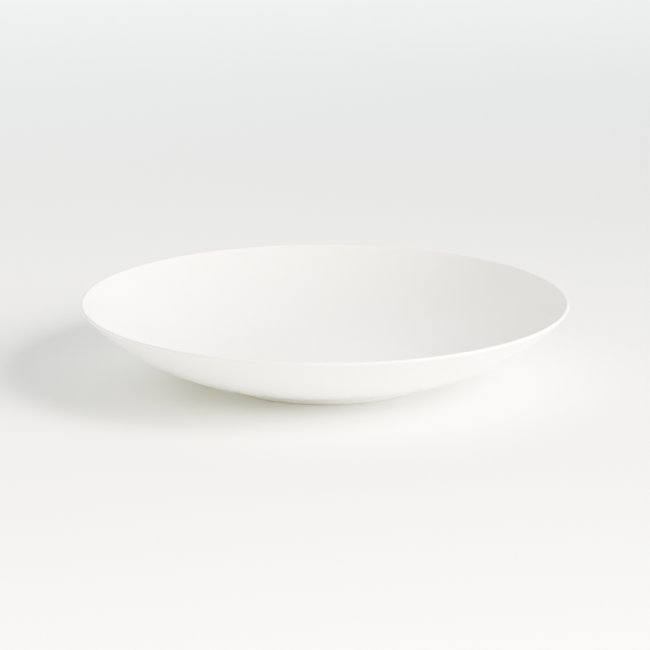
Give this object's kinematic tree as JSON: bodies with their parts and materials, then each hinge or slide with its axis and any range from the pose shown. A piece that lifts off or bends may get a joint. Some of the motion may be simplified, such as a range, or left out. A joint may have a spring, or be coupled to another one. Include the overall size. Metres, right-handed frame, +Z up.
{
  "type": "low bowl",
  "caption": "White glazed bone china low bowl, a wide shallow coupe with a thin rounded lip and a bare foot ring, for serving food on a table.",
  "frame": {"origin": "centre of the foot ring, on the surface that the bowl stands on", "axes": "+Z up along the axis that the bowl is turned about; X and Y are alike"},
  "size_m": [0.24, 0.24, 0.039],
  "materials": {
    "biscuit": "fired bone china biscuit, smooth, matt where the foot ring is left bare",
    "glaze": "clear glossy glaze over white china"
  },
  "bodies": {
    "root": {"china_body": "biscuit", "glaze_coat": "glaze", "base_glaze": "glaze"}
  },
  "joints": []
}
